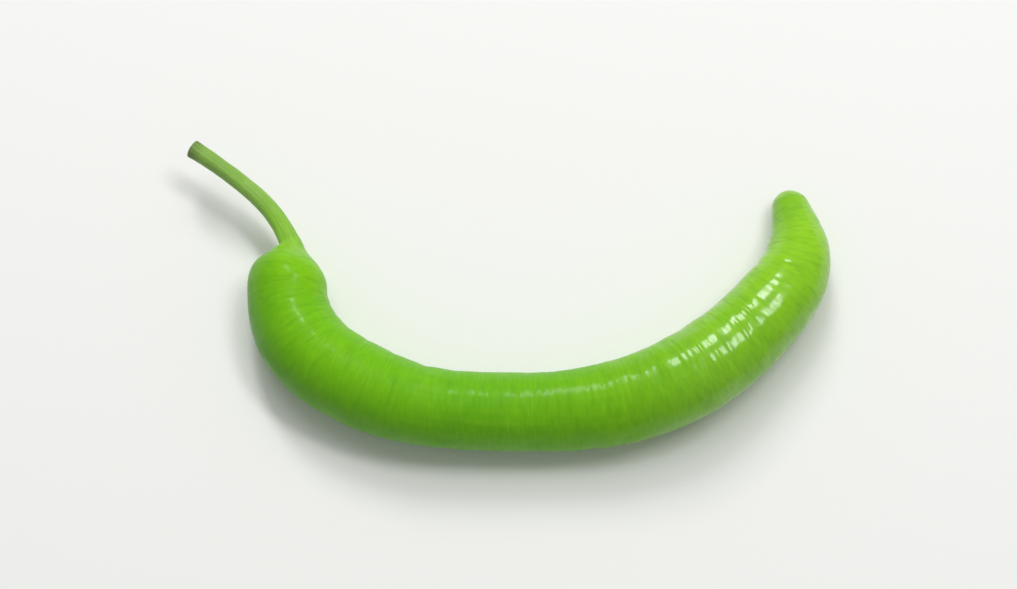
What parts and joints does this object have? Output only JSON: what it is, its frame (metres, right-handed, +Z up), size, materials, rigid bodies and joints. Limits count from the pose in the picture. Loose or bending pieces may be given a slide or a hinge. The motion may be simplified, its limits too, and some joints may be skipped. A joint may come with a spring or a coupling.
{
  "type": "chilli pepper",
  "caption": "Long green chilli pepper as picked, lying on its side: a glossy pod bent into an open hook, with a green calyx over its shoulders and a curved, cut stem.",
  "frame": {"origin": "on the surface the pepper lies on, under the middle of its outline seen from above", "axes": "+X from the stem's side to the tip's side, the longest way; +Y towards the open side of the hook; +Z up, the thinnest way"},
  "size_m": [0.1388, 0.0676, 0.0193],
  "materials": {
    "pod_skin": "gloss",
    "calyx_green": "satin",
    "stem_green": "matte"
  },
  "bodies": {
    "root": {"pod": "pod_skin", "calyx": "calyx_green", "stem": "stem_green"}
  },
  "joints": []
}
